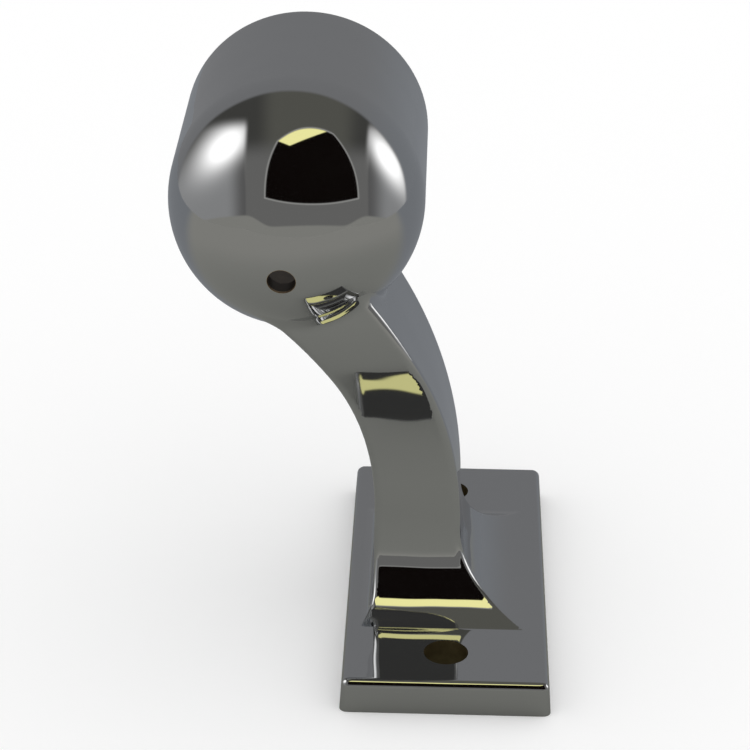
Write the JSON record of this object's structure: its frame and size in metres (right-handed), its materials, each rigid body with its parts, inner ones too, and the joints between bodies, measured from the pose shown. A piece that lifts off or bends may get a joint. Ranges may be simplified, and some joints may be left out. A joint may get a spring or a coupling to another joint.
{
  "type": "handrail bracket",
  "caption": "Cast handrail end bracket, chrome plated: a screw-down base plate, a curved arm that reaches out to one side, and a round domed socket for the end of the rail.",
  "frame": {"origin": "centre of the base plate's underside", "axes": "+Z away from the wall, +Y along the rail towards the head's open end, -X towards the side that the head hangs out to"},
  "size_m": [0.0585, 0.069, 0.09],
  "materials": {
    "chrome_casting": "mirror-polished plating; bare brass colour inside the screw holes"
  },
  "bodies": {
    "root": {"handrail_bracket": "chrome_casting"}
  },
  "joints": []
}
